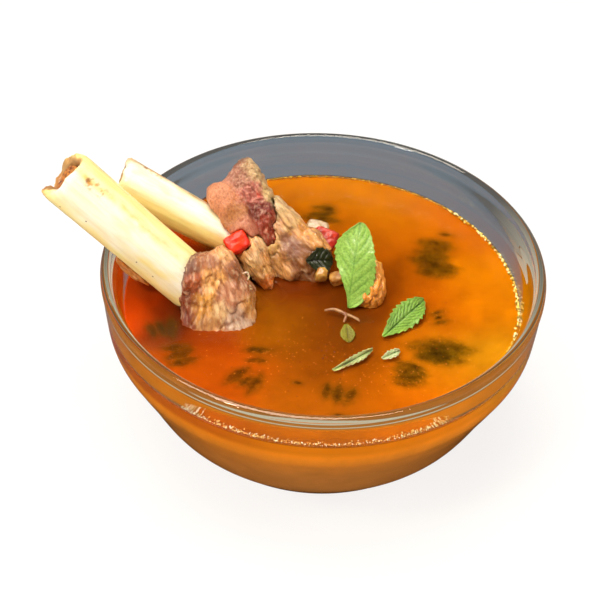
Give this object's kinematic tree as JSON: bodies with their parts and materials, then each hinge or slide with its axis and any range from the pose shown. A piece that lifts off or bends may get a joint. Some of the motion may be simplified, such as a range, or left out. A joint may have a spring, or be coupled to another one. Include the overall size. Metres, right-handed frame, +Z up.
{
  "type": "bowl of mutton pepper soup",
  "caption": "Clear glass bowl with a beaded rim and a stacking shoulder, filled with orange soup: shank bones lean on the rim, with chunks of meat, mint leaves and diced red pepper.",
  "frame": {"origin": "middle of the flat underside of the bowl", "axes": "+Z up out of the bowl's mouth; the bones lean out over -X; -Y is the side it is looked at from"},
  "size_m": [0.1588, 0.1404, 0.0893],
  "materials": {
    "clear_glass": "clear pressed glass, polished",
    "soup": "wet, oily surface",
    "bone": "boiled bone, wet sheen",
    "marrow": "soft, wet, rough",
    "meat": "stewed meat, fibrous, wet",
    "fat": "soft fat and tendon, wet",
    "pepper": "cooked skin, glossy",
    "onion": "cooked, translucent, wet",
    "herb": "dark cooked leaf",
    "mint": "fresh leaf, soft sheen",
    "stem": "cooked stalk"
  },
  "bodies": {
    "root": {"bowl": "clear_glass", "soup": "soup", "bone_front": "bone", "marrow_front": "marrow", "bone_back": "bone", "marrow_back": "marrow", "meat_front": "meat", "meat_back": "meat", "meat_middle": "meat", "meat_flap": "fat", "tendon": "fat", "fat_scrap": "fat", "pepper_left": "pepper", "pepper_right": "pepper", "onion": "onion", "garlic_left": "onion", "garlic_right": "onion", "herb_dark": "herb", "mint_upright": "mint", "mint_stem": "stem", "mint_floating": "mint", "mint_edge": "mint", "mint_tip": "mint"}
  },
  "joints": []
}
